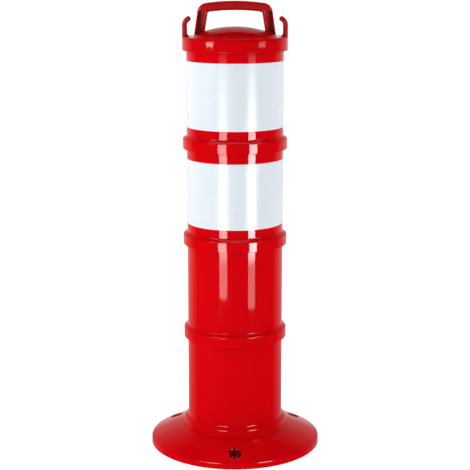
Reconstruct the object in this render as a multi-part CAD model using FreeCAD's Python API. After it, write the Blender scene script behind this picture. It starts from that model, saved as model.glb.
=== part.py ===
"""Water-filled marker post: a round foot, a stacked hollow column and a screw cap with a handle and hooks.

Millimetres, +Z up. The origin is the centre of the foot's underside, and the front faces -Y.
The column is a stack of equal sections. Each has a bell socket at its bottom that covers the spigot
of the piece below, so every ring seen on the column is one joint with a seal inside.
"""
import FreeCAD, Part
import math
import os

from FreeCAD import Vector

# --- column -------------------------------------------------------------------------------------
COLUMN_R = 100.0            # outside radius of the column
WALL = 3.0                  # wall of the column sections
SECTION_COUNT = 4           # column sections between the foot and the cap
PITCH = 201.0               # from one ring to the next
FIRST_LIP_Z = 34.5          # lower lip of the lowest ring

# --- ring joint ---------------------------------------------------------------------------------
RING_PROUD = 8.3            # ring beyond the column
RING_SIDE_H = 21.0          # straight side of a ring
RING_SHOULDER_H = 6.0       # cone from the ring back to the column
RING_ROUND = 2.0            # rounding of the cone's two edges
LIP_ROUND = 1.0             # rounding of the ring's lower edge
BELL_WALL = 4.0             # wall of the bell socket
SPIGOT_H = 18.0             # how far a spigot goes into its socket
RIB_H = 2.5                 # height of each spigot rib
RIB_START = 1.5             # from the socket's lip to the lower rib
SEAL_H = 5.0                # height of the seal between the two ribs
SEAL_ROUND = 1.4
SNAP_DEPTH = 0.8            # how far the upper rib snaps into the socket's groove
FIT_GAP = 0.2               # radial gap between spigot ribs and socket

# --- reflective bands -----------------------------------------------------------------------------
BANDED_SECTIONS = {2: "lower", 3: "upper"}
BAND_START = 45.0           # from a section's lip to its band
BAND_TOP_GAP = 21.0         # from the band to the next ring
BAND_T = 0.6                # sheet thickness, equal to the depth of its recess
BAND_SEAM = 1.0             # gap between the sheet's ends, at the rear

# --- foot -----------------------------------------------------------------------------------------
FOOT_R = 180.0
FOOT_RIM_H = 12.5           # straight side of the foot's rim
FOOT_RIM_ROUND = 3.0
FOOT_BURY = 4.0             # how deep the lowest ring sits in the foot
FOOT_CROWN = 1.6            # how far the foot's top bulges above a straight cone
FOOT_WALL = 5.0
FOOT_RIB_T = 4.0
FOOT_OUTER_RIBS = 12
FOOT_INNER_RIBS = 6
FOOT_HUB_R = 26.0
TANK_FLOOR_RISE = 7.5       # tank's floor above the lowest ring's lip
TANK_FLOOR_T = 5.0
RECESS_GAP = 0.3            # round and under the lowest ring's lip

# --- anchor holes ---------------------------------------------------------------------------------
ANCHOR_COUNT = 3
ANCHOR_INSET = 30.0         # from the foot's edge
ANCHOR_HOLE_R = 5.5         # for an M10 bolt
ANCHOR_POCKET_R = 12.0
ANCHOR_SEAT_Z = 12.0        # where the bolt's washer rests
ANCHOR_BOSS_WALL = 5.0
ANCHOR_POCKET_ROUND = 4.0   # soft rim of the pocket

# --- cap ------------------------------------------------------------------------------------------
CAP_LEDGE_H = 27.5          # from the skirt's lip to the ledge
CAP_EDGE_ROUND = 8.0        # rounding of the ledge's outer edge
CAP_WALL = 4.0
LEDGE_W = 21.3              # flat ledge round the dome
DOME_STEP_H = 3.8           # step from the ledge to the dome's edge
DOME_STEP_W = 5.0
DOME_STEP_HOLLOW = 0.85     # how far the step's face is hollowed
DOME_RISE = 16.2            # dome's edge to its apex
NECK_H = 14.5               # filler neck above the skirt's lip
GASKET_T = 3.0
GASKET_W = 6.0
GASKET_INSET = 1.0          # gasket's inner edge inside the bore
LAND_INSET = 1.5            # inner edge of the gasket's seat in the cap

# --- cap thread, right-handed ---------------------------------------------------------------------
THREAD_LEAD = 12.0
THREAD_STARTS = 2
THREAD_W = 2.2              # width of a ridge along the axis
NECK_THREAD_DEPTH = 2.2
CAP_THREAD_DEPTH = 2.4
THREAD_FLANK_GAP = 0.35     # between the flanks that pull the cap down
THREAD_TIP_GAP = 0.8        # between a ridge's tip and the wall it faces
THREAD_END_GAP = 0.7        # from the upper ridge to the neck's rim
THREAD_LOW_GAP = 2.4        # from the cap's ridges to the skirt's lip
THREAD_TIP_SHARE = 0.55     # ridge's width at its tip, of its width at the wall
THREAD_ROOT = 0.6           # how far a ridge runs into the wall that it stands on

# --- carry handle ---------------------------------------------------------------------------------
HANDLE_TOP_H = 71.3         # handle's highest point above the ledge
HANDLE_INSET = 24.3         # from the cap's edge to the leg, at the ledge
HANDLE_LEAN = 9.7           # how far a leg leans in, from the ledge to the sharp upper corner
HANDLE_CROWN = 6.6          # how far the handle's top arches
HANDLE_BAR_T = 18.7         # bar at its middle
HANDLE_LEG_W = 21.0         # leg at the ledge, across
HANDLE_LEG_TOP_W = 21.5     # leg at the inner corner, across
HANDLE_INNER_CROWN = 3.7
HANDLE_D = 24.0             # front to back
HANDLE_OUTER_ROUND = 20.0
HANDLE_INNER_ROUND = 3.5
HANDLE_EDGE_ROUND = 7.0
LEG_RECESS_RIM = 2.6        # wall left at the outside of the recess in a leg's front
LEG_RECESS_W = 13.4         # recess at the ledge
LEG_RECESS_H = 52.0         # top of the recess above the ledge
LEG_RECESS_D = 14.0
LEG_RECESS_ROUND = 1.5
SCREW_INSET = 12.0          # from the leg's outer side
SCREW_BACK = 7.0            # behind the handle's middle plane
SCREW_R = 3.0
SCREW_HOLE_GAP = 0.4        # round the screw in the cap
SCREW_FIT = 0.05            # round the screw in the leg
SCREW_HEAD_R = 5.5
SCREW_HEAD_H = 3.5
SCREW_DEPTH = 22.0          # screw inside the handle's leg
SCREW_SEAL_T = 1.5
SCREW_SEAL_R = 6.1
SCREW_BOSS_R = 7.5
SCREW_BOSS_DROP = 1.5       # boss face below the ledge
SCREW_SOCKET_AF = 4.0

# --- chain hooks ----------------------------------------------------------------------------------
HOOK_R = 5.15               # radius of the hook's round stem
HOOK_EDGE_GAP = 0.3         # from the stem's outside to the ring's outside
HOOK_STRAIGHT_H = 23.0      # stem above the ledge, up to the bend
HOOK_BEND_R = 13.8          # bend of the stem's centre line
HOOK_BEND_ANGLE = 63.0
HOOK_BALL_R = 5.4           # ball at the hook's tip
HOOK_PEG_DEPTH = 8.5        # stem in the cap
HOOK_WEB_H = 8.0
HOOK_WEB_W = 6.2
HOOK_WEB_T = 6.0
HOOK_WEB_HOLLOW = 1.9       # how far the web's edge is hollowed

# --- drain fitting --------------------------------------------------------------------------------
DRAIN_PAD_RIM = 6.0         # flat pad on the column wall, round the bush's flange
DRAIN_PAD_CLEAR = 7.5       # from the lowest ring to the pad
DRAIN_PAD_OUT = 1.5         # pad's face beyond the column
DRAIN_PAD_T = 9.0
BUSH_FLANGE_RIM = 5.0       # flange beyond the bush
BUSH_FLANGE_T = 3.0
BUSH_WALL = 3.2
BUSH_TAIL = 5.0             # bush beyond its nut
BUSH_GAP = 0.05             # round the sleeve in the column wall and in its nut
BUSH_SEAL_T = 2.0
BUSH_SEAL_INSET = 1.0       # from the flange's edge
BUSH_NUT_WALL = 3.0         # nut round the bush, at its flats
BUSH_NUT_T = 6.0
PLUG_R = 7.2                # plug's shank under its thread
PLUG_LENGTH = 15.0
PLUG_LEAD = 4.0
PLUG_THREAD_ARC = 900.0     # degrees covered by the plug's ridge and by the bush's
PLUG_THREAD_W = 1.5
PLUG_THREAD_DEPTH = 1.2
PLUG_TIP_GAP = 0.4          # between a ridge's tip and the wall it faces
PLUG_END_GAP = 0.8          # from the plug's ridge to the plug's end
PLUG_HEAD_RIM = 1.0         # head beyond its washer
PLUG_HEAD_T = 5.0
PLUG_WING_T = 5.0
PLUG_WING_H = 9.0
PLUG_WING_L = 22.0
PLUG_ROUND = 1.2
PLUG_WASHER_T = 2.0
PLUG_WASHER_W = 3.2

# --- worked out -----------------------------------------------------------------------------------
OVERRUN = 1.0               # how far a cutting body runs past a face
NEAR = 0.02                 # how near an edge is to the place where it is looked for
BORE_R = COLUMN_R - WALL
RING_R = COLUMN_R + RING_PROUD
BELL_BORE_R = RING_R - BELL_WALL
RIB_R = BELL_BORE_R - FIT_GAP
LIPS = [FIRST_LIP_Z + PITCH * step for step in range(SECTION_COUNT + 1)]
CAP_LIP_Z = LIPS[-1]
BAND_H = PITCH - BAND_START - BAND_TOP_GAP
TANK_FLOOR_Z = FIRST_LIP_Z + TANK_FLOOR_RISE
LEDGE_Z = CAP_LIP_Z + CAP_LEDGE_H
NECK_TOP_Z = CAP_LIP_Z + NECK_H
GASKET_TOP_Z = NECK_TOP_Z + GASKET_T
CAP_BORE_R = COLUMN_R + NECK_THREAD_DEPTH + THREAD_TIP_GAP
THREAD_RISE = NECK_H - THREAD_END_GAP - THREAD_LOW_GAP - 2 * THREAD_W - THREAD_FLANK_GAP
THREAD_ARC = 360 * THREAD_RISE / THREAD_LEAD
THREAD_LOW_Z = NECK_TOP_Z - THREAD_END_GAP - THREAD_W / 2 - THREAD_RISE
DOME_R = RING_R - LEDGE_W - DOME_STEP_W
HANDLE_HALF_W = RING_R - HANDLE_INSET
HANDLE_TOP_HALF_W = HANDLE_HALF_W - HANDLE_LEAN
HANDLE_SLOPE = HANDLE_LEAN / (HANDLE_TOP_H - HANDLE_CROWN)
SCREW_X = HANDLE_HALF_W - SCREW_INSET
HOOK_X = RING_R - HOOK_EDGE_GAP - HOOK_R
FOOT_SOCKET_R = RING_R + RECESS_GAP
FOOT_TOP_Z = FIRST_LIP_Z + FOOT_BURY
ANCHOR_CIRCLE_R = FOOT_R - ANCHOR_INSET
PAD_FACE_Y = COLUMN_R + DRAIN_PAD_OUT
FLANGE_Y = PAD_FACE_Y + BUSH_SEAL_T
PLUG_SEAT_Y = FLANGE_Y + BUSH_FLANGE_T
PLUG_FACE_Y = PLUG_SEAT_Y + PLUG_WASHER_T
BUSH_BORE_R = PLUG_R + PLUG_THREAD_DEPTH + PLUG_TIP_GAP
BUSH_R = BUSH_BORE_R + BUSH_WALL
BUSH_FLANGE_R = BUSH_R + BUSH_FLANGE_RIM
BUSH_LENGTH = BUSH_SEAL_T + DRAIN_PAD_T + BUSH_NUT_T + BUSH_TAIL
BUSH_NUT_AF = 2 * (BUSH_R + BUSH_NUT_WALL)
PLUG_WASHER_R = BUSH_BORE_R + PLUG_WASHER_W
PLUG_HEAD_R = PLUG_WASHER_R + PLUG_HEAD_RIM
DRAIN_PAD_R = BUSH_FLANGE_R + DRAIN_PAD_RIM
DRAIN_Z = FIRST_LIP_Z + RING_SIDE_H + RING_SHOULDER_H + DRAIN_PAD_CLEAR + DRAIN_PAD_R
DRAIN_THREAD_Y = PLUG_FACE_Y - PLUG_LENGTH + PLUG_END_GAP + PLUG_THREAD_W / 2
UP = Vector(0, 0, 1)
BACK = Vector(0, 1, 0)


# --- helpers --------------------------------------------------------------------------------------
def line(start, end):
    """Straight edge of a revolved outline between two (radius, height) points."""
    return Part.LineSegment(Vector(start[0], 0, start[1]), Vector(end[0], 0, end[1])).toShape()


def arc(start, middle, end):
    """Arc edge of a revolved outline through three (radius, height) points."""
    places = [Vector(x, 0, z) for x, z in (start, middle, end)]
    return Part.Arc(*places).toShape()


def bulge(start, end, height):
    """Middle point of an arc that rises height to the left of the chord from start to end."""
    dx = end[0] - start[0]
    dz = end[1] - start[1]
    length = math.hypot(dx, dz)
    return ((start[0] + end[0]) / 2 - dz / length * height, (start[1] + end[1]) / 2 + dx / length * height)


def spin(edges):
    """Solid of revolution about Z of the closed outline made by the edges."""
    face = Part.Face(Part.Wire(edges))
    return face.revolve(Vector(0, 0, 0), UP, 360)


def turned(points):
    """Solid of revolution about Z of a straight-sided outline."""
    closed = points + points[:1]
    return spin([line(a, b) for a, b in zip(closed, closed[1:])])


def ring(outer, inner, low, high):
    return turned([(inner, low), (outer, low), (outer, high), (inner, high)])


def rod(radius, low, high, x=0.0, y=0.0):
    """Upright round bar."""
    return Part.makeCylinder(radius, high - low, Vector(x, y, low), UP)


def rod_back(radius, start_y, end_y, z):
    """Round bar along Y."""
    return Part.makeCylinder(radius, end_y - start_y, Vector(0, start_y, z), BACK)


def hexagon_back(across_flats, start_y, end_y, z):
    """Six-sided bar along Y."""
    corner = across_flats / math.sqrt(3)
    angles = [math.radians(60 * step) for step in range(7)]
    points = [Vector(corner * math.cos(a), start_y, z + corner * math.sin(a)) for a in angles]
    return Part.Face(Part.makePolygon(points)).extrude(Vector(0, end_y - start_y, 0))


def polar(count, first_degrees):
    return [first_degrees + 360.0 / count * step for step in range(count)]


def turn_about_z(shape, degrees):
    copy = shape.copy()
    copy.rotate(Vector(0, 0, 0), UP, degrees)
    return copy


def circle_edges(shape, places):
    """Circular edges of a revolved solid at the given (radius, height) places."""
    found = []
    for edge in shape.Edges:
        if edge.Degenerated or not isinstance(edge.Curve, Part.Circle):
            continue
        for radius, height in places:
            if abs(edge.Curve.Radius - radius) < NEAR and abs(edge.Curve.Center.z - height) < NEAR:
                found.append(edge)
    return found


def rounded(shape, radius, places):
    return shape.makeFillet(radius, circle_edges(shape, places))


def thread_ridge(wall_r, tip_r, low, lead, degrees, width):
    """One helical ridge about Z with sloped flanks, rooted a little inside the wall."""
    root = math.copysign(THREAD_ROOT, wall_r - tip_r)
    half = width / 2
    tip_half = half * THREAD_TIP_SHARE
    corners = [(wall_r + root, -half), (wall_r, -half), (tip_r, -tip_half), (tip_r, tip_half),
               (wall_r, half), (wall_r + root, half)]
    points = [Vector(r, 0, z) for r, z in corners]
    profile = Part.makePolygon(points + points[:1])
    path = Part.makeHelix(lead, lead * degrees / 360, wall_r)
    ridge = Part.Wire(path).makePipeShell([profile], True, True)
    ridge.translate(Vector(0, 0, low))
    return ridge


def cap_thread(wall_r, tip_r, low_z):
    """All the ridges of the neck's or the cap's thread."""
    ridge = thread_ridge(wall_r, tip_r, low_z, THREAD_LEAD, THREAD_ARC, THREAD_W)
    return [turn_about_z(ridge, degrees) for degrees in polar(THREAD_STARTS, 0.0)]


def drain_thread(wall_r, tip_r, low_y):
    """The ridge of the drain plug's or the bush's thread, about the drain's axis."""
    ridge = thread_ridge(wall_r, tip_r, low_y, PLUG_LEAD, PLUG_THREAD_ARC, PLUG_THREAD_W)
    ridge.rotate(Vector(0, 0, 0), Vector(1, 0, 0), -90)
    ridge.translate(Vector(0, 0, DRAIN_Z))
    return ridge


def write(name, shape):
    shape = shape.removeSplitter()
    shape.exportStep("parts/" + name + ".step")
    box = shape.BoundBox
    facts = (name, len(shape.Solids), shape.isValid(), box.ZMin, box.ZMax)
    print("%-26s solids %d valid %s  z %.1f..%.1f" % facts)


# --- column ---------------------------------------------------------------------------------------
def spigot_points(lip_z):
    """Outside of a spigot from its root at lip_z to its top: lower rib, seal seat and snap rib."""
    low_rib = lip_z + RIB_START
    seat = low_rib + RIB_H
    snap = seat + SEAL_H
    top = lip_z + SPIGOT_H
    snap_r = RIB_R + SNAP_DEPTH
    return [
        (COLUMN_R, low_rib), (RIB_R, low_rib), (RIB_R, seat), (COLUMN_R, seat),
        (COLUMN_R, snap), (snap_r, snap), (snap_r, snap + RIB_H / 2), (COLUMN_R, snap + RIB_H * 1.5),
        (COLUMN_R, top),
    ]


def socket_points(lip_z):
    """Inside of a bell socket from its ledge down to its lip, with the groove for the snap rib."""
    snap = lip_z + RIB_START + RIB_H + SEAL_H
    groove_r = BELL_BORE_R + SNAP_DEPTH
    return [
        (BORE_R, lip_z + SPIGOT_H), (BELL_BORE_R, lip_z + SPIGOT_H),
        (BELL_BORE_R, snap + RIB_H * 1.5), (groove_r, snap + RIB_H / 2), (groove_r, snap),
        (BELL_BORE_R, snap), (BELL_BORE_R, lip_z),
    ]


def column_section(index):
    """One hollow section, from its bell socket up to the spigot or the filler neck at its top."""
    lip_z = LIPS[index]
    next_z = LIPS[index + 1]
    last = index == SECTION_COUNT - 1
    side_top = lip_z + RING_SIDE_H
    shoulder_top = side_top + RING_SHOULDER_H
    if last:
        head = [(COLUMN_R, NECK_TOP_Z), (BORE_R, NECK_TOP_Z)]
    else:
        head = spigot_points(next_z) + [(BORE_R, next_z + SPIGOT_H)]
    outside = [(RING_R, lip_z), (RING_R, side_top), (COLUMN_R, shoulder_top)]
    section = turned(outside + head + socket_points(lip_z))
    section = rounded(section, RING_ROUND, [(RING_R, side_top), (COLUMN_R, shoulder_top)])
    section = rounded(section, LIP_ROUND, [(RING_R, lip_z)])
    if index in BANDED_SECTIONS:
        low = lip_z + BAND_START
        section = section.cut(ring(RING_R, COLUMN_R - BAND_T, low, low + BAND_H))
    if last:
        section = section.fuse(cap_thread(COLUMN_R, COLUMN_R + NECK_THREAD_DEPTH, THREAD_LOW_Z))
    if index == 0:
        section = with_drain_pad(section)
    return section


def joint_seal(index):
    """Rubber ring squeezed between a spigot's ribs and the socket around it."""
    low = LIPS[index] + RIB_START + RIB_H
    seal = ring(BELL_BORE_R, COLUMN_R, low, low + SEAL_H)
    corner = min(SEAL_ROUND, SEAL_H / 3)
    places = [(radius, height) for radius in (BELL_BORE_R, COLUMN_R) for height in (low, low + SEAL_H)]
    return rounded(seal, corner, places)


def reflective_sleeve(index):
    """Sheet wrapped flush into the section's recess, with its two ends meeting at the rear."""
    low = LIPS[index] + BAND_START
    sleeve = ring(COLUMN_R, COLUMN_R - BAND_T, low, low + BAND_H)
    seam = Part.makeBox(BAND_SEAM, COLUMN_R, BAND_H, Vector(-BAND_SEAM / 2, BORE_R / 2, low))
    return sleeve.cut(seam)


# --- foot -----------------------------------------------------------------------------------------
def foot_top_edges():
    start = (FOOT_R, FOOT_RIM_H)
    end = (FOOT_SOCKET_R, FOOT_TOP_Z)
    return start, bulge(start, end, -FOOT_CROWN), end


def foot_envelope():
    """The foot's outer form, closed underneath, without its spigot."""
    start, middle, end = foot_top_edges()
    return spin([
        line((0, 0), (FOOT_R, 0)), line((FOOT_R, 0), start), arc(start, middle, end),
        line(end, (FOOT_SOCKET_R, FIRST_LIP_Z - RECESS_GAP)),
        line((FOOT_SOCKET_R, FIRST_LIP_Z - RECESS_GAP), (0, FIRST_LIP_Z - RECESS_GAP)),
        line((0, FIRST_LIP_Z - RECESS_GAP), (0, 0)),
    ])


def foot_hollow():
    """Space under the foot between its column tube and its rim."""
    inner_r = COLUMN_R + FOOT_WALL / 2
    outer_r = FOOT_R - FOOT_WALL
    low = (outer_r, FOOT_RIM_H - FOOT_RIM_ROUND)
    high = (inner_r, FIRST_LIP_Z - RECESS_GAP - FOOT_WALL)
    return spin([
        line((inner_r, -OVERRUN), (outer_r, -OVERRUN)), line((outer_r, -OVERRUN), low),
        arc(low, bulge(low, high, -FOOT_CROWN), high), line(high, (inner_r, -OVERRUN)),
    ])


def foot_ribs(count, inner_r, outer_r, first_degrees):
    corner = Vector(inner_r, -FOOT_RIB_T / 2, -OVERRUN)
    bar = Part.makeBox(outer_r - inner_r, FOOT_RIB_T, TANK_FLOOR_Z, corner)
    return [turn_about_z(bar, degrees) for degrees in polar(count, first_degrees)]


def foot_flange():
    """Domed foot with ribs underneath, the tank's floor, a spigot for the column and anchor holes."""
    floor_low = TANK_FLOOR_Z - TANK_FLOOR_T
    hollow = foot_hollow()
    for bar in foot_ribs(FOOT_OUTER_RIBS, COLUMN_R, FOOT_R, 90.0 / ANCHOR_COUNT):
        hollow = hollow.cut(bar)
    centre = ring(BORE_R - FOOT_WALL / 2, FOOT_HUB_R, -OVERRUN, floor_low)
    for bar in foot_ribs(FOOT_INNER_RIBS, 0.0, COLUMN_R, 90.0 / ANCHOR_COUNT):
        centre = centre.cut(bar)
    spigot_low = FIRST_LIP_Z - FOOT_WALL
    spigot = turned([(0, spigot_low), (COLUMN_R, spigot_low)] + spigot_points(FIRST_LIP_Z)
                    + [(BORE_R, FIRST_LIP_Z + SPIGOT_H), (BORE_R, TANK_FLOOR_Z), (0, TANK_FLOOR_Z)])
    foot = foot_envelope().fuse(spigot)
    foot = foot.cut(centre)
    foot = foot.cut(rod(FOOT_HUB_R - FOOT_WALL, -OVERRUN, floor_low))
    for boss in anchor_rods(ANCHOR_POCKET_R + ANCHOR_BOSS_WALL, -OVERRUN, FOOT_TOP_Z):
        hollow = hollow.cut(boss)
    foot = foot.cut(hollow)
    for pocket in anchor_rods(ANCHOR_POCKET_R, ANCHOR_SEAT_Z, FOOT_TOP_Z):
        foot = foot.cut(pocket)
    foot = foot.makeFillet(ANCHOR_POCKET_ROUND, pocket_rims(foot))
    for hole in anchor_rods(ANCHOR_HOLE_R, -OVERRUN, FOOT_TOP_Z):
        foot = foot.cut(hole)
    return rounded(foot, FOOT_RIM_ROUND, [(FOOT_R, FOOT_RIM_H)])


def pocket_rims(foot):
    """Upper edges of the anchor pockets, where they open through the foot's domed top."""
    found = []
    for edge in foot.Edges:
        middle = edge.CenterOfMass
        off_circle = abs(math.hypot(middle.x, middle.y) - ANCHOR_CIRCLE_R)
        wide = max(edge.BoundBox.XLength, edge.BoundBox.YLength) > ANCHOR_POCKET_R
        if off_circle < ANCHOR_POCKET_R and wide and edge.BoundBox.ZMin > ANCHOR_SEAT_Z + OVERRUN:
            found.append(edge)
    return found


def anchor_rods(radius, low, high):
    """Upright round bars at the anchor places, the first of them at the front."""
    front = rod(radius, low, high, 0.0, -ANCHOR_CIRCLE_R)
    return [turn_about_z(front, degrees) for degrees in polar(ANCHOR_COUNT, 0.0)]


# --- cap ------------------------------------------------------------------------------------------
def dome_points(inset):
    """Apex, middle and edge of the dome's arc, moved inwards by inset."""
    edge_z = LEDGE_Z + DOME_STEP_H
    sphere_r = (DOME_R ** 2 + DOME_RISE ** 2) / (2 * DOME_RISE)
    centre_z = edge_z + DOME_RISE - sphere_r
    half = math.asin(DOME_R / sphere_r)
    return [((sphere_r - inset) * math.sin(a), centre_z + (sphere_r - inset) * math.cos(a))
            for a in (0.0, half / 2, half)]


def cap_outside_edges(low_z, low_r):
    """Cap outline from its skirt's lip, over ledge and dome, to the axis."""
    apex, middle, edge = dome_points(0.0)
    foot_of_step = (DOME_R + DOME_STEP_W, LEDGE_Z)
    hollow = bulge(foot_of_step, edge, DOME_STEP_HOLLOW)
    return [
        line((low_r, low_z), (RING_R, low_z)), line((RING_R, low_z), (RING_R, LEDGE_Z)),
        line((RING_R, LEDGE_Z), foot_of_step), arc(foot_of_step, hollow, edge),
        arc(edge, middle, apex),
    ]


def cap_envelope():
    """The cap's outer form without its hollow, for cutting what stands on it."""
    apex = dome_points(0.0)[0]
    shape = spin(cap_outside_edges(CAP_LIP_Z, 0.0) + [line(apex, (0, CAP_LIP_Z))])
    return rounded(shape, CAP_EDGE_ROUND, [(RING_R, LEDGE_Z)])


def screw_places():
    return [(-SCREW_X, SCREW_BACK), (SCREW_X, SCREW_BACK)]


def cap_shell():
    """Screw cap: skirt with inner thread, ledge and dome, with seats for the gasket, screws and hooks."""
    apex, middle, edge = dome_points(CAP_WALL)
    outer_apex = dome_points(0.0)[0]
    under_z = LEDGE_Z - CAP_WALL
    land_r = BORE_R - LAND_INSET
    top_z = LEDGE_Z + DOME_STEP_H + DOME_RISE
    inside = [
        line(outer_apex, apex), arc(apex, middle, edge), line(edge, (edge[0], under_z)),
        line((edge[0], under_z), (land_r, under_z)), line((land_r, under_z), (land_r, GASKET_TOP_Z)),
        line((land_r, GASKET_TOP_Z), (CAP_BORE_R, GASKET_TOP_Z)),
        line((CAP_BORE_R, GASKET_TOP_Z), (CAP_BORE_R, CAP_LIP_Z)),
    ]
    cap = spin(cap_outside_edges(CAP_LIP_Z, CAP_BORE_R) + inside)
    cap = rounded(cap, CAP_EDGE_ROUND, [(RING_R, LEDGE_Z)])
    cap = rounded(cap, LIP_ROUND, [(RING_R, CAP_LIP_Z)])
    for x, y in screw_places():
        boss = rod(SCREW_BOSS_R, LEDGE_Z - SCREW_BOSS_DROP, top_z, x, y)
        cap = cap.fuse(boss.common(cap_envelope()))
    for x, y in screw_places():
        cap = cap.cut(rod(SCREW_R + SCREW_HOLE_GAP, under_z, top_z, x, y))
    for side in (-1, 1):
        cap = cap.cut(rod(HOOK_R, LEDGE_Z - HOOK_PEG_DEPTH, LEDGE_Z + OVERRUN, side * HOOK_X))
    low = THREAD_LOW_Z - THREAD_W - THREAD_FLANK_GAP
    return cap.fuse(cap_thread(CAP_BORE_R, CAP_BORE_R - CAP_THREAD_DEPTH, low))


def cap_gasket():
    """Flat ring that the cap presses on the filler neck."""
    inner = BORE_R - GASKET_INSET
    return ring(inner + GASKET_W, inner, NECK_TOP_Z, GASKET_TOP_Z)


# --- handle ---------------------------------------------------------------------------------------
def leg_outside(z):
    """Distance from the middle to a leg's outer side at a height."""
    return HANDLE_HALF_W - HANDLE_SLOPE * (z - LEDGE_Z)


def handle_blank():
    """Loop in the XZ plane with rounded corners and edges, running down into the cap."""
    top_z = LEDGE_Z + HANDLE_TOP_H
    corner_z = top_z - HANDLE_CROWN
    low_z = LEDGE_Z - CAP_WALL
    low_x = leg_outside(low_z)
    inner_top_z = top_z - HANDLE_BAR_T
    inner_corner_z = inner_top_z - HANDLE_INNER_CROWN
    inner_x = leg_outside(inner_corner_z) - HANDLE_LEG_TOP_W
    inner_low_x = low_x - HANDLE_LEG_W
    outline = [
        line((-inner_low_x, low_z), (-low_x, low_z)), line((-low_x, low_z), (-HANDLE_TOP_HALF_W, corner_z)),
        arc((-HANDLE_TOP_HALF_W, corner_z), (0, top_z), (HANDLE_TOP_HALF_W, corner_z)),
        line((HANDLE_TOP_HALF_W, corner_z), (low_x, low_z)), line((low_x, low_z), (inner_low_x, low_z)),
        line((inner_low_x, low_z), (inner_x, inner_corner_z)),
        arc((inner_x, inner_corner_z), (0, inner_top_z), (-inner_x, inner_corner_z)),
        line((-inner_x, inner_corner_z), (-inner_low_x, low_z)),
    ]
    blank = Part.Face(Part.Wire(outline)).extrude(Vector(0, HANDLE_D, 0))
    blank.translate(Vector(0, -HANDLE_D / 2, 0))
    blank = blank.makeFillet(HANDLE_OUTER_ROUND, cross_edges(blank, HANDLE_TOP_HALF_W, corner_z))
    blank = blank.makeFillet(HANDLE_INNER_ROUND, cross_edges(blank, inner_x, inner_corner_z))
    faces = [face for face in blank.Faces if face.BoundBox.YLength < NEAR]
    rims = [edge for face in faces for edge in face.Edges if edge.BoundBox.ZMax > low_z + NEAR]
    return blank.makeFillet(HANDLE_EDGE_ROUND, rims)


def cross_edges(shape, x, z):
    """Straight edges along Y at +x and -x."""
    found = []
    for edge in shape.Edges:
        box = edge.BoundBox
        along_y = box.YLength > 1 and box.XLength < NEAR
        if along_y and abs(abs(box.XMin) - x) < NEAR and abs(box.ZMin - z) < NEAR:
            found.append(edge)
    return found


def leg_recess(side):
    """Wedge that hollows a leg's front: upright inside, and parallel to the leg outside."""
    low_z = LEDGE_Z - CAP_WALL - OVERRUN
    high_z = LEDGE_Z + LEG_RECESS_H
    inner_x = HANDLE_HALF_W - LEG_RECESS_RIM - LEG_RECESS_W
    places = [
        (inner_x, low_z), (leg_outside(low_z) - LEG_RECESS_RIM, low_z),
        (leg_outside(high_z) - LEG_RECESS_RIM, high_z), (inner_x, high_z),
    ]
    outline = [line(a, b) for a, b in zip(places, places[1:] + places[:1])]
    wedge = Part.Face(Part.Wire(outline)).extrude(Vector(0, LEG_RECESS_D + OVERRUN, 0))
    wedge.translate(Vector(0, -HANDLE_D / 2 - OVERRUN, 0))
    back_y = LEG_RECESS_D - HANDLE_D / 2
    back_edges = [edge for edge in wedge.Edges if edge.BoundBox.YMin > back_y - NEAR]
    wedge = wedge.makeFillet(LEG_RECESS_ROUND, back_edges)
    return wedge if side > 0 else wedge.mirror(Vector(0, 0, 0), Vector(1, 0, 0))


def carry_handle():
    handle = handle_blank().cut(cap_envelope())
    for side in (-1, 1):
        handle = handle.cut(leg_recess(side))
    for x, y in screw_places():
        handle = handle.cut(rod(SCREW_R, LEDGE_Z - OVERRUN, LEDGE_Z + DOME_STEP_H + SCREW_DEPTH, x, y))
    return handle


def handle_screws():
    """Two screws with socket heads, driven up from inside the cap into the handle's legs."""
    seat = LEDGE_Z - SCREW_BOSS_DROP - SCREW_SEAL_T
    shapes = []
    for x, y in screw_places():
        screw = rod(SCREW_R - SCREW_FIT, seat - OVERRUN, LEDGE_Z + DOME_STEP_H + SCREW_DEPTH - OVERRUN, x, y)
        screw = screw.fuse(rod(SCREW_HEAD_R, seat - SCREW_HEAD_H, seat, x, y))
        socket = Part.makeBox(SCREW_SOCKET_AF, SCREW_SOCKET_AF, SCREW_HEAD_H / 2,
                              Vector(x - SCREW_SOCKET_AF / 2, y - SCREW_SOCKET_AF / 2, seat - SCREW_HEAD_H))
        shapes.append(screw.cut(socket))
    return Part.makeCompound(shapes)


def handle_screw_seals():
    seat = LEDGE_Z - SCREW_BOSS_DROP
    shapes = []
    for x, y in screw_places():
        seal = rod(SCREW_SEAL_R, seat - SCREW_SEAL_T, seat, x, y)
        shapes.append(seal.cut(rod(SCREW_R, seat - SCREW_SEAL_T - OVERRUN, seat + OVERRUN, x, y)))
    return Part.makeCompound(shapes)


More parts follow.
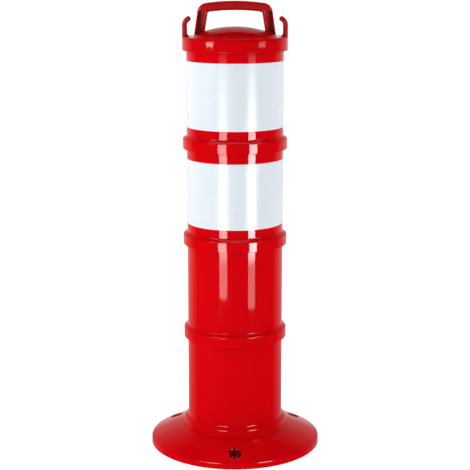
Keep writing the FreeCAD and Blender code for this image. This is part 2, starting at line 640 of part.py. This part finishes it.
def chain_hook(side):
    """Round cane-shaped hook that bends towards the handle, with a ball at its tip and a web at its root."""
    bend_z = LEDGE_Z + HOOK_STRAIGHT_H
    stem = rod(HOOK_R, LEDGE_Z - HOOK_PEG_DEPTH, bend_z, HOOK_X)
    centre_x = HOOK_X - HOOK_BEND_R
    circle = Part.Face(Part.Wire(Part.makeCircle(HOOK_R, Vector(HOOK_X, 0, bend_z), UP)))
    bend = circle.revolve(Vector(centre_x, 0, bend_z), Vector(0, -1, 0), HOOK_BEND_ANGLE)
    tip = math.radians(HOOK_BEND_ANGLE)
    tip_x = centre_x + HOOK_BEND_R * math.cos(tip)
    tip_z = bend_z + HOOK_BEND_R * math.sin(tip)
    ball = Part.makeSphere(HOOK_BALL_R, Vector(tip_x, 0, tip_z))
    web_top = (HOOK_X - HOOK_R, LEDGE_Z + HOOK_WEB_H)
    web_low = (web_top[0] - HOOK_WEB_W, LEDGE_Z)
    middle = bulge(web_low, web_top, -HOOK_WEB_HOLLOW)
    web = Part.Face(Part.Wire([
        line((HOOK_X, LEDGE_Z), web_low), arc(web_low, middle, web_top), line(web_top, (HOOK_X, web_top[1])),
        line((HOOK_X, web_top[1]), (HOOK_X, LEDGE_Z)),
    ])).extrude(Vector(0, HOOK_WEB_T, 0))
    web.translate(Vector(0, -HOOK_WEB_T / 2, 0))
    hook = stem.fuse([bend, ball, web])
    return hook if side > 0 else turn_about_z(hook, 180)


# --- drain ----------------------------------------------------------------------------------------
def with_drain_pad(section):
    """Flat pad with a hole, at the rear of the lowest section."""
    pad = rod_back(DRAIN_PAD_R, PAD_FACE_Y - DRAIN_PAD_T, PAD_FACE_Y, DRAIN_Z)
    section = section.fuse(pad)
    return section.cut(rod_back(BUSH_R, BORE_R / 2, PAD_FACE_Y + OVERRUN, DRAIN_Z))


def drain_bush():
    """Flanged sleeve through the column wall, with an inner thread for the drain plug."""
    low = FLANGE_Y - BUSH_LENGTH
    bush = rod_back(BUSH_R - BUSH_GAP, low, FLANGE_Y + BUSH_FLANGE_T, DRAIN_Z)
    bush = bush.fuse(rod_back(BUSH_FLANGE_R, FLANGE_Y, PLUG_SEAT_Y, DRAIN_Z))
    bush = bush.cut(rod_back(BUSH_BORE_R, low - OVERRUN, PLUG_SEAT_Y + OVERRUN, DRAIN_Z))
    thread = drain_thread(BUSH_BORE_R, BUSH_BORE_R - PLUG_THREAD_DEPTH, DRAIN_THREAD_Y - PLUG_LEAD / 2)
    return bush.fuse(thread)


def washer_back(outer, inner, start_y, thickness):
    disc = rod_back(outer, start_y, start_y + thickness, DRAIN_Z)
    return disc.cut(rod_back(inner, start_y - OVERRUN, start_y + thickness + OVERRUN, DRAIN_Z))


def drain_bush_nut():
    end = PAD_FACE_Y - DRAIN_PAD_T
    nut = hexagon_back(BUSH_NUT_AF, end - BUSH_NUT_T, end, DRAIN_Z)
    return nut.cut(rod_back(BUSH_R, end - BUSH_NUT_T - OVERRUN, end + OVERRUN, DRAIN_Z))


def drain_plug():
    """Threaded plug with a round head and a wing for turning by hand."""
    shank = rod_back(PLUG_R, PLUG_FACE_Y - PLUG_LENGTH, PLUG_FACE_Y + OVERRUN, DRAIN_Z)
    shank = shank.fuse(drain_thread(PLUG_R, PLUG_R + PLUG_THREAD_DEPTH, DRAIN_THREAD_Y))
    head = rod_back(PLUG_HEAD_R, PLUG_FACE_Y, PLUG_FACE_Y + PLUG_HEAD_T, DRAIN_Z)
    top = PLUG_FACE_Y + PLUG_HEAD_T
    head = head.makeFillet(PLUG_ROUND, [edge for edge in head.Edges if edge.BoundBox.YMin > top - OVERRUN])
    wing = Part.makeBox(PLUG_WING_L, PLUG_WING_H + OVERRUN, PLUG_WING_T,
                        Vector(-PLUG_WING_L / 2, top - OVERRUN, DRAIN_Z - PLUG_WING_T / 2))
    wing = wing.makeFillet(PLUG_ROUND, [edge for edge in wing.Edges if edge.BoundBox.YMax > top])
    return shank.fuse([head, wing])


def main():
    os.makedirs("parts", exist_ok=True)
    write("foot_flange", foot_flange())
    for index in range(SECTION_COUNT):
        write("column_section_%d" % (index + 1), column_section(index))
        write("joint_seal_%d" % (index + 1), joint_seal(index))
    for index, place in BANDED_SECTIONS.items():
        write("reflective_sleeve_" + place, reflective_sleeve(index))
    write("cap_shell", cap_shell())
    write("cap_gasket", cap_gasket())
    write("carry_handle", carry_handle())
    write("handle_screws", handle_screws())
    write("handle_screw_seals", handle_screw_seals())
    write("chain_hook_left", chain_hook(-1))
    write("chain_hook_right", chain_hook(1))
    write("drain_bush", drain_bush())
    write("drain_bush_seal", washer_back(BUSH_FLANGE_R - BUSH_SEAL_INSET, BUSH_R, PAD_FACE_Y, BUSH_SEAL_T))
    write("drain_bush_nut", drain_bush_nut())
    write("drain_washer", washer_back(PLUG_WASHER_R, BUSH_BORE_R, PLUG_SEAT_Y, PLUG_WASHER_T))
    write("drain_plug", drain_plug())


main()
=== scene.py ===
"""Looks, light and camera for the water-filled marker post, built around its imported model. Metres, +Z up."""
import math

import bmesh
import bpy
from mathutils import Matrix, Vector


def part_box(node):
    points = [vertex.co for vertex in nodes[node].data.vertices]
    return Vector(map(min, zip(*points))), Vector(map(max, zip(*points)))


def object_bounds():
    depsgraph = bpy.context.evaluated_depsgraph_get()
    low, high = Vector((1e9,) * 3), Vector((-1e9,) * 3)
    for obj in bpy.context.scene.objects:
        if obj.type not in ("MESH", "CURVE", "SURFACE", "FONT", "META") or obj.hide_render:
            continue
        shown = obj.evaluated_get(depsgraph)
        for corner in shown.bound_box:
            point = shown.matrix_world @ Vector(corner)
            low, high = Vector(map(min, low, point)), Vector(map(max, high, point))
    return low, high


MM = 0.001

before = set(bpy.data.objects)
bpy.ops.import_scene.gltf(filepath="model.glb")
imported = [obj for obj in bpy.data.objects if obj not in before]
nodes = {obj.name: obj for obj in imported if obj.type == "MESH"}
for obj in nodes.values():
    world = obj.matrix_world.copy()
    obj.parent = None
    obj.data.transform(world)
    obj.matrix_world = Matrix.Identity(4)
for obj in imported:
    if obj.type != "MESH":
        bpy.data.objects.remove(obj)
cad_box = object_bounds()

# --- places read from the frame ---------------------------------------------------------------
COLUMN_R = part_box("reflective_sleeve_lower")[1].x
FOOT_R = cad_box[1].x


# --- shader helpers ---------------------------------------------------------------------------
class Shader:
    """A node material with short calls for the nodes used here."""

    def __init__(self, name):
        self.material = bpy.data.materials.new(name)
        self.material.use_nodes = True
        self.tree = self.material.node_tree
        self.surface = self.tree.nodes["Principled BSDF"]
        self.place = self.add("ShaderNodeTexCoord").outputs["Object"]

    def add(self, kind, **settings):
        node = self.tree.nodes.new(kind)
        for key, value in settings.items():
            setattr(node, key, value)
        return node

    def link(self, source, target):
        self.tree.links.new(source, target)

    def plain(self, **values):
        """Sets unlinked sockets of the surface, such as Metallic=1.0."""
        for key, value in values.items():
            self.surface.inputs[key.replace("_", " ")].default_value = value

    def feed(self, socket, source):
        self.link(source, self.surface.inputs[socket])

    def stretched(self, scale):
        """Object coordinates multiplied by three factors."""
        mapping = self.add("ShaderNodeMapping")
        mapping.inputs["Scale"].default_value = scale
        self.link(self.place, mapping.inputs["Vector"])
        return mapping.outputs["Vector"]

    def from_axis(self, middle=(0.0, 0.0, 0.0)):
        """Distance from an upright axis through a point."""
        flat = self.add("ShaderNodeVectorMath", operation="MULTIPLY")
        flat.inputs[1].default_value = (1.0, 1.0, 0.0)
        moved = self.add("ShaderNodeVectorMath", operation="SUBTRACT")
        moved.inputs[1].default_value = middle
        self.link(self.place, moved.inputs[0])
        self.link(moved.outputs["Vector"], flat.inputs[0])
        length = self.add("ShaderNodeVectorMath", operation="LENGTH")
        self.link(flat.outputs["Vector"], length.inputs[0])
        return length.outputs["Value"]

    def noise(self, scale, detail=2.0, rough=0.5, vector=None):
        node = self.add("ShaderNodeTexNoise")
        node.inputs["Scale"].default_value = scale
        node.inputs["Detail"].default_value = detail
        node.inputs["Roughness"].default_value = rough
        self.link(vector or self.place, node.inputs["Vector"])
        return node.outputs["Fac"]

    def spread(self, value, low, high, new_low, new_high):
        """Maps a value from one range to another and clamps it."""
        node = self.add("ShaderNodeMapRange")
        for index, number in enumerate((low, high, new_low, new_high), start=1):
            node.inputs[index].default_value = number
        self.link(value, node.inputs["Value"])
        return node.outputs["Result"]

    def blend(self, amount, first, second):
        """Colour between two colours by a 0 to 1 value."""
        node = self.add("ShaderNodeMix", data_type="RGBA")
        self.link(amount, node.inputs["Factor"])
        for socket, colour in (("A", first), ("B", second)):
            target = [s for s in node.inputs if s.name == socket and s.type == "RGBA"][0]
            if isinstance(colour, tuple):
                target.default_value = (*colour, 1.0)
            else:
                self.link(colour, target)
        return [s for s in node.outputs if s.type == "RGBA"][0]

    def maths(self, operation, *values):
        node = self.add("ShaderNodeMath", operation=operation)
        for index, value in enumerate(values):
            if isinstance(value, (int, float)):
                node.inputs[index].default_value = value
            else:
                self.link(value, node.inputs[index])
        return node.outputs["Value"]

    def bump(self, height, distance, strength=1.0, below=None):
        """Bump of a height field in metres of depth, on top of an earlier one."""
        node = self.add("ShaderNodeBump")
        node.inputs["Strength"].default_value = strength
        node.inputs["Distance"].default_value = distance
        self.link(height, node.inputs["Height"])
        if below is not None:
            self.link(below, node.inputs["Normal"])
        return node.outputs["Normal"]


def moulded_plastic(name, colour, deep, sheen_wave, rough, painted_shade=None):
    """Glossy moulded polyethylene: faint clouding, orange peel, slow waviness and fine rubbing marks.

    The last argument is painted shade: a deeper colour that stands in for shade in hollows, with a function
    that gives the shader how strongly it shows at each point.
    """
    shader = Shader(name)
    cloud = shader.noise(7.0, detail=4.0, rough=0.6)
    tint = shader.blend(shader.spread(cloud, 0.35, 0.7, 0.0, 1.0), colour, deep)
    # Painted shade: the colour turns deeper where the function of the painted shade is strong.
    if painted_shade is not None:
        shade_colour, strength = painted_shade
        tint = shader.blend(strength(shader), tint, shade_colour)
    shader.feed("Base Color", tint)
    rubbed = shader.noise(60.0, detail=6.0, rough=0.7, vector=shader.stretched((1.0, 1.0, 0.18)))
    shader.feed("Roughness", shader.spread(rubbed, 0.42, 0.78, *rough))
    wave = shader.bump(shader.noise(11.0, detail=1.0), sheen_wave)
    peel = shader.bump(shader.noise(420.0, detail=2.0), 0.003 * MM, below=wave)
    shader.feed("Normal", peel)
    shader.plain(IOR=1.5)
    return shader.material


def dome_crease_shade(shader):
    """Painted shade in the crease at the foot of the cap's dome: strongest on the lower slope of the dome, and
    gone on the ledge around it.
    """
    away = shader.maths("ABSOLUTE", shader.maths("SUBTRACT", shader.from_axis(), CREASE_R))
    return shader.spread(away, 0.5 * CREASE_REACH, CREASE_REACH, 1.0, 0.0)


def pocket_shade(shader):
    """Painted shade: full inside the three anchor pockets of the foot, and gone a little outside their rims.
    """
    nearest = None
    for degrees in ANCHOR_DEGREES:
        turn = math.radians(degrees)
        middle = (ANCHOR_CIRCLE_R * math.cos(turn), ANCHOR_CIRCLE_R * math.sin(turn), 0.0)
        away = shader.from_axis(middle)
        nearest = away if nearest is None else shader.maths("MINIMUM", nearest, away)
    return shader.spread(nearest, SHADE_FULL * POCKET_R, SHADE_GONE * POCKET_R, 1.0, 0.0)


def reflective_sheet(name):
    """White sheeting with a fine lattice of round cells under a smooth clear face."""
    shader = Shader(name)
    split = shader.add("ShaderNodeSeparateXYZ")
    shader.link(shader.place, split.inputs["Vector"])
    turn_about = shader.maths("ARCTAN2", split.outputs["Y"], split.outputs["X"])
    around = shader.maths("MULTIPLY", turn_about, COLUMN_R)
    waves = []
    for degrees in (0.0, 60.0, 120.0):
        turn = math.radians(degrees)
        along = shader.maths("MULTIPLY", around, math.cos(turn) * CELL_WAVE)
        across = shader.maths("MULTIPLY", split.outputs["Z"], math.sin(turn) * CELL_WAVE)
        waves.append(shader.maths("COSINE", shader.maths("ADD", along, across)))
    cells = shader.maths("ADD", shader.maths("ADD", waves[0], waves[1]), waves[2])
    grain = shader.noise(9.0, detail=3.0)
    paper = shader.blend(shader.spread(grain, 0.3, 0.7, 0.0, 1.0), SHEET_WHITE, SHEET_GREY)
    lattice = shader.spread(cells, -1.5, 1.2, 0.0, 1.0)
    shader.feed("Base Color", shader.blend(lattice, CELL_WALL, paper))
    smear = shader.noise(45.0, detail=5.0, rough=0.65)
    shader.feed("Roughness", shader.spread(smear, 0.4, 0.75, 0.22, 0.30))
    wave = shader.bump(shader.noise(16.0, detail=1.0), 0.05 * MM)
    shader.feed("Normal", shader.bump(cells, 0.002 * MM, below=wave))
    shader.plain(IOR=1.5)
    return shader.material


def black_rubber(name):
    shader = Shader(name)
    dust = shader.noise(90.0, detail=5.0, rough=0.7)
    dusty = shader.spread(dust, 0.45, 0.8, 0.0, 1.0)
    shader.feed("Base Color", shader.blend(dusty, RUBBER_BLACK, RUBBER_DUSTY))
    shader.feed("Roughness", shader.spread(dust, 0.3, 0.8, 0.55, 0.8))
    shader.feed("Normal", shader.bump(shader.noise(900.0, detail=3.0), 0.03 * MM))
    return shader.material


def black_plastic(name):
    shader = Shader(name)
    grain = shader.noise(1500.0, detail=2.0)
    marks = shader.noise(70.0, detail=5.0, rough=0.7)
    marked = shader.spread(marks, 0.5, 0.85, 0.0, 1.0)
    shader.feed("Base Color", shader.blend(marked, PLASTIC_BLACK, PLASTIC_MARKED))
    shader.feed("Roughness", shader.spread(marks, 0.3, 0.8, 0.32, 0.5))
    shader.feed("Normal", shader.bump(grain, 0.02 * MM))
    return shader.material


def brushed_steel(name):
    shader = Shader(name)
    brush = shader.noise(300.0, detail=6.0, rough=0.7, vector=shader.stretched((1.0, 1.0, 12.0)))
    shader.feed("Base Color", shader.blend(brush, STEEL_DARK, STEEL_BRIGHT))
    shader.feed("Roughness", shader.spread(brush, 0.3, 0.7, 0.22, 0.4))
    shader.feed("Normal", shader.bump(brush, 0.02 * MM))
    shader.plain(Metallic=1.0)
    return shader.material


def clothe(material, *names):
    """Puts one material on the whole of each named CAD node."""
    for name in names:
        slots = nodes[name].data.materials
        if len(slots) == 0:
            slots.append(material)
        for index in range(len(slots)):
            slots[index] = material


# --- materials on the CAD nodes ---------------------------------------------------------------
RED = (0.690, 0.0010, 0.0045)
RED_DEEP = (0.655, 0.0008, 0.0040)
# Painted shade in the crease at the foot of the cap's dome: its radius, its reach and its darker red.
CREASE_R = 72 * MM
CREASE_REACH = 10 * MM
CREASE_SHADE_RED = (0.390, 0.0007, 0.0034)
ANCHOR_CIRCLE_R = 150 * MM
ANCHOR_DEGREES = (-90.0, 30.0, 150.0)
POCKET_R = 12 * MM
# Painted shade inside the anchor pockets of the foot: its darker red, and where it is full and where it is
# gone, in pocket radii.
POCKET_SHADE_RED = (0.250, 0.0004, 0.0020)
SHADE_FULL = 1.02
SHADE_GONE = 1.26
CAP_RED = (0.645, 0.0009, 0.0042)
CAP_RED_DEEP = (0.595, 0.0008, 0.0038)
HANDLE_RED = (0.490, 0.0008, 0.0038)
HANDLE_RED_DEEP = (0.455, 0.0006, 0.0032)

CELL_SPACING = 2.9 * MM
CELL_WAVE = 2 * math.pi / CELL_SPACING
CELL_WALL = (0.745, 0.82, 0.875)
SHEET_WHITE = (0.81, 0.88, 0.93)
SHEET_GREY = (0.785, 0.855, 0.905)
RUBBER_BLACK = (0.012, 0.012, 0.013)
RUBBER_DUSTY = (0.035, 0.034, 0.033)
PLASTIC_BLACK = (0.014, 0.014, 0.015)
PLASTIC_MARKED = (0.045, 0.045, 0.046)
STEEL_DARK = (0.50, 0.50, 0.49)
STEEL_BRIGHT = (0.66, 0.66, 0.65)

# Lowest and highest roughness of the red plastics.
POLISHED = (0.03, 0.085)
SATIN = (0.20, 0.28)

column_red = moulded_plastic("column_red", RED, RED_DEEP, 0.10 * MM, POLISHED)
# The foot's red is darkened by painted shade inside its anchor pockets.
foot_red = moulded_plastic("foot_red", RED, RED_DEEP, 0.12 * MM, POLISHED, (POCKET_SHADE_RED, pocket_shade))
# The cap's red is darkened by painted shade in the crease at the foot of its dome.
cap_red = moulded_plastic("cap_red", CAP_RED, CAP_RED_DEEP, 0.06 * MM, POLISHED, (CREASE_SHADE_RED, dome_crease_shade))
clothe(column_red, *["column_section_%d" % number for number in range(1, 5)])
clothe(foot_red, "foot_flange")
clothe(cap_red, "cap_shell")
clothe(moulded_plastic("handle_red", HANDLE_RED, HANDLE_RED_DEEP, 0.04 * MM, SATIN),
       "carry_handle", "chain_hook_left", "chain_hook_right")
clothe(reflective_sheet("reflective_white"), "reflective_sleeve_lower", "reflective_sleeve_upper")
clothe(black_rubber("seal_black"), "cap_gasket", "drain_washer", "drain_bush_seal", "handle_screw_seals",
       *["joint_seal_%d" % number for number in range(1, 5)])
clothe(black_plastic("drain_black"), "drain_bush", "drain_bush_nut", "drain_plug")
clothe(brushed_steel("screw_steel"), "handle_screws")


# --- floor ------------------------------------------------------------------------------------
def floor():
    """Large pale disc that the post stands on, which glows faintly except beneath the foot."""
    mesh = bpy.data.meshes.new("floor")
    work = bmesh.new()
    bmesh.ops.create_circle(work, cap_ends=True, radius=FLOOR_R, segments=FLOOR_SIDES)
    work.to_mesh(mesh)
    work.free()
    plate = bpy.data.objects.new("floor", mesh)
    bpy.context.scene.collection.objects.link(plate)
    shader = Shader("floor_pale")
    speck = shader.noise(3.0, detail=4.0)
    shader.feed("Base Color", shader.blend(speck, (0.90, 0.90, 0.90), (0.92, 0.92, 0.92)))
    glow = shader.spread(shader.from_axis(), GLOW_START * FOOT_R, FOOT_R, 0.0, FLOOR_GLOW)
    shader.feed("Emission Strength", glow)
    shader.plain(Roughness=1.0, Specular_IOR_Level=0.0, Emission_Color=(1.0, 1.0, 1.0, 1.0))
    mesh.materials.append(shader.material)
    plate.visible_glossy = False


# --- light ------------------------------------------------------------------------------------
def world_light():
    """White room: even light on matt surfaces, while gloss sees a dark front and a low bright back."""
    world = bpy.data.worlds.new("studio")
    bpy.context.scene.world = world
    world.use_nodes = True
    world.cycles.sampling_method = "NONE"
    tree = world.node_tree
    tree.nodes.clear()
    make = tree.nodes.new
    path = make("ShaderNodeLightPath")
    split = make("ShaderNodeSeparateXYZ")
    tree.links.new(make("ShaderNodeTexCoord").outputs["Generated"], split.inputs["Vector"])

    def ramp(axis, numbers):
        node = make("ShaderNodeMapRange")
        for index, number in enumerate(numbers, start=1):
            node.inputs[index].default_value = number
        tree.links.new(split.outputs[axis], node.inputs["Value"])
        return node.outputs["Result"]

    strength = ramp("Y", BACKDROP_BY_DEPTH)
    for numbers in BACKDROP_BY_HEIGHT:
        product = make("ShaderNodeMath")
        product.operation = "MULTIPLY"
        tree.links.new(strength, product.inputs[0])
        tree.links.new(ramp("Z", numbers), product.inputs[1])
        strength = product.outputs["Value"]
    white = make("ShaderNodeValue").outputs["Value"]
    white.default_value = 1.0
    matt = ramp("Z", MATT_BY_HEIGHT)
    for ray, level in (("Is Diffuse Ray", matt), ("Is Camera Ray", white)):
        mix = make("ShaderNodeMix")
        mix.data_type = "FLOAT"
        tree.links.new(path.outputs[ray], mix.inputs["Factor"])
        tree.links.new(strength, mix.inputs["A"])
        tree.links.new(level, mix.inputs["B"])
        strength = mix.outputs["Result"]
    background = make("ShaderNodeBackground")
    background.inputs["Color"].default_value = (1.0, 1.0, 1.0, 1.0)
    tree.links.new(strength, background.inputs["Strength"])
    tree.links.new(background.outputs["Background"], make("ShaderNodeOutputWorld").inputs["Surface"])


def softbox(name, azimuth, distance, low, high, width, radiance, gloss):
    """Upright softbox facing the post's axis, seen by gloss only or by matt surfaces only.

    Azimuth is measured from the front towards +X, and radiance is the brightness of its face.
    """
    lamp = bpy.data.lights.new(name, "AREA")
    lamp.shape = "RECTANGLE"
    lamp.size = width
    lamp.size_y = high - low
    lamp.energy = radiance * math.pi * width * (high - low)
    box = bpy.data.objects.new(name, lamp)
    turn = math.radians(azimuth)
    box.location = (distance * math.sin(turn), -distance * math.cos(turn), (low + high) / 2)
    box.rotation_euler = (math.pi / 2, 0.0, turn)
    box.visible_camera = False
    box.visible_glossy = gloss
    box.visible_diffuse = not gloss
    bpy.context.scene.collection.objects.link(box)
    return box


def flag(name, azimuth, distance, low, high, width):
    """Upright black card that hides a front strip from gloss at the post's far edges, and nothing else."""
    mesh = bpy.data.meshes.new(name)
    turn = math.radians(azimuth)
    side = Vector((math.cos(turn), math.sin(turn), 0.0)) * width / 2
    middle = Vector((distance * math.sin(turn), -distance * math.cos(turn), 0.0))
    corners = [middle - side, middle + side]
    below = [(corner.x, corner.y, low) for corner in corners]
    above = [(corner.x, corner.y, high) for corner in reversed(corners)]
    mesh.from_pydata(below + above, [], [(0, 1, 2, 3)])
    card = bpy.data.objects.new(name, mesh)
    shader = Shader(name + "_black")
    shader.plain(Base_Color=(0.0, 0.0, 0.0, 1.0), Roughness=1.0, Specular_IOR_Level=0.0)
    mesh.materials.append(shader.material)
    for ray in ("camera", "diffuse", "transmission", "shadow", "volume_scatter"):
        setattr(card, "visible_" + ray, False)
    bpy.context.scene.collection.objects.link(card)


def fade_ends(box, dim_until, full_from, foot_share):
    """Makes a softbox's face dimmer near its lower end, and fades it out towards its top."""
    lamp = box.data
    lamp.use_nodes = True
    tree = lamp.node_tree
    emission = tree.nodes["Emission"]
    place = tree.nodes.new("ShaderNodeNewGeometry").outputs["Parametric"]
    split = tree.nodes.new("ShaderNodeSeparateXYZ")
    tree.links.new(place, split.inputs["Vector"])
    product = tree.nodes.new("ShaderNodeMath")
    product.operation = "MULTIPLY"
    for factor, numbers in enumerate(((dim_until, full_from, foot_share, 1.0), TOP_FADE)):
        ramp = tree.nodes.new("ShaderNodeMapRange")
        for index, number in enumerate(numbers, start=1):
            ramp.inputs[index].default_value = number
        tree.links.new(split.outputs["Y"], ramp.inputs["Value"])
        tree.links.new(ramp.outputs["Result"], product.inputs[factor])
    tree.links.new(product.outputs["Value"], emission.inputs["Strength"])


FLOOR_R = 60.0
FLOOR_SIDES = 96
FLOOR_GLOW = 0.52
GLOW_START = 0.93
# Ramps: from, to, value at from, value at to.
BACKDROP_BY_DEPTH = (0.25, 1.0, 0.003, 0.68)
BACKDROP_BY_HEIGHT = ((-0.36, -0.20, 0.40, 1.0), (0.02, 0.18, 1.0, 0.55), (0.28, 0.75, 1.0, 0.0))
MATT_BY_HEIGHT = (0.0, 1.0, 0.53, 0.57)
TOP_FADE = (0.55, 1.0, 1.0, 0.0)

STRIP_DISTANCE = 1.05
STRIP_TOP = 0.78
SPOT_LOW, SPOT_HIGH = 0.792, 0.806
HIGH_DISTANCE = 1.15
HIGH_TOP = 1.45
FILL_DISTANCE = 2.0
FLAG_LOW, FLAG_TOP = 0.06, 0.785
FOOT_FLAG_LOW, FOOT_FLAG_TOP = 0.03, 0.21

floor()
world_light()
strip_left = softbox("strip_left", azimuth=-27.0, distance=STRIP_DISTANCE, low=0.086, high=STRIP_TOP,
                     width=0.33, radiance=9.3, gloss=True)
strip_right = softbox("strip_right", azimuth=38.6, distance=STRIP_DISTANCE, low=0.057, high=STRIP_TOP,
                      width=0.30, radiance=18.0, gloss=True)
fade_ends(strip_left, dim_until=0.14, full_from=0.20, foot_share=0.43)
fade_ends(strip_right, dim_until=0.17, full_from=0.23, foot_share=0.18)
for side, azimuth, width, radiance in (("left", -53.8, 0.30, 7.5), ("right", 57.5, 0.29, 2.6)):
    softbox("spot_" + side, azimuth, STRIP_DISTANCE, SPOT_LOW, SPOT_HIGH, width, radiance, gloss=True)
for side, azimuth, low, radiance in (("left", -54.0, 1.05, 5.0), ("right", 62.0, 1.15, 4.0)):
    softbox("high_" + side, azimuth, HIGH_DISTANCE, low, HIGH_TOP, width=0.34, radiance=radiance, gloss=True)
softbox("fill_left", azimuth=-66.0, distance=FILL_DISTANCE, low=0.5, high=2.4, width=1.0, radiance=2.6,
        gloss=False)
softbox("fill_right", azimuth=78.0, distance=FILL_DISTANCE, low=0.1, high=2.2, width=1.0, radiance=0.9,
        gloss=False)
for side, azimuth, radiance in (("left", -135.0, 3.2), ("right", 130.0, 1.8)):
    softbox("fill_back_" + side, azimuth, FILL_DISTANCE, low=0.8, high=2.6, width=1.2, radiance=radiance,
            gloss=False)
softbox("strip_back", azimuth=180.0, distance=STRIP_DISTANCE, low=0.12, high=0.80, width=0.30,
        radiance=4.5, gloss=True)
for side, azimuth, distance, width in (("left", -57.9, 0.175, 0.06), ("right", 69.1, 0.1742, 0.0615)):
    flag("flag_" + side, azimuth, distance, FLAG_LOW, FLAG_TOP, width)
for side, azimuth, distance, width in (("left", -55.6, 0.212, 0.16), ("right", 63.4, 0.2236, 0.17)):
    flag("flag_foot_" + side, azimuth, distance, FOOT_FLAG_LOW, FOOT_FLAG_TOP, width)


# --- camera -----------------------------------------------------------------------------------
SENSOR_MM = 36.0
LENS_MM = 97.43
CAMERA_PLACE = (0.0, -2.623, 1.004)
CAMERA_DOWN = 11.89


def photo_camera():
    """Camera at the photograph's height, distance and downward angle."""
    data = bpy.data.cameras.new("camera")
    data.sensor_width = SENSOR_MM
    data.lens = LENS_MM
    camera = bpy.data.objects.new("camera", data)
    camera.location = CAMERA_PLACE
    camera.rotation_euler = (math.radians(90.0 - CAMERA_DOWN), 0.0, 0.0)
    bpy.context.scene.collection.objects.link(camera)
    bpy.context.scene.camera = camera


photo_camera()
bpy.context.scene.view_settings.view_transform = "Standard"
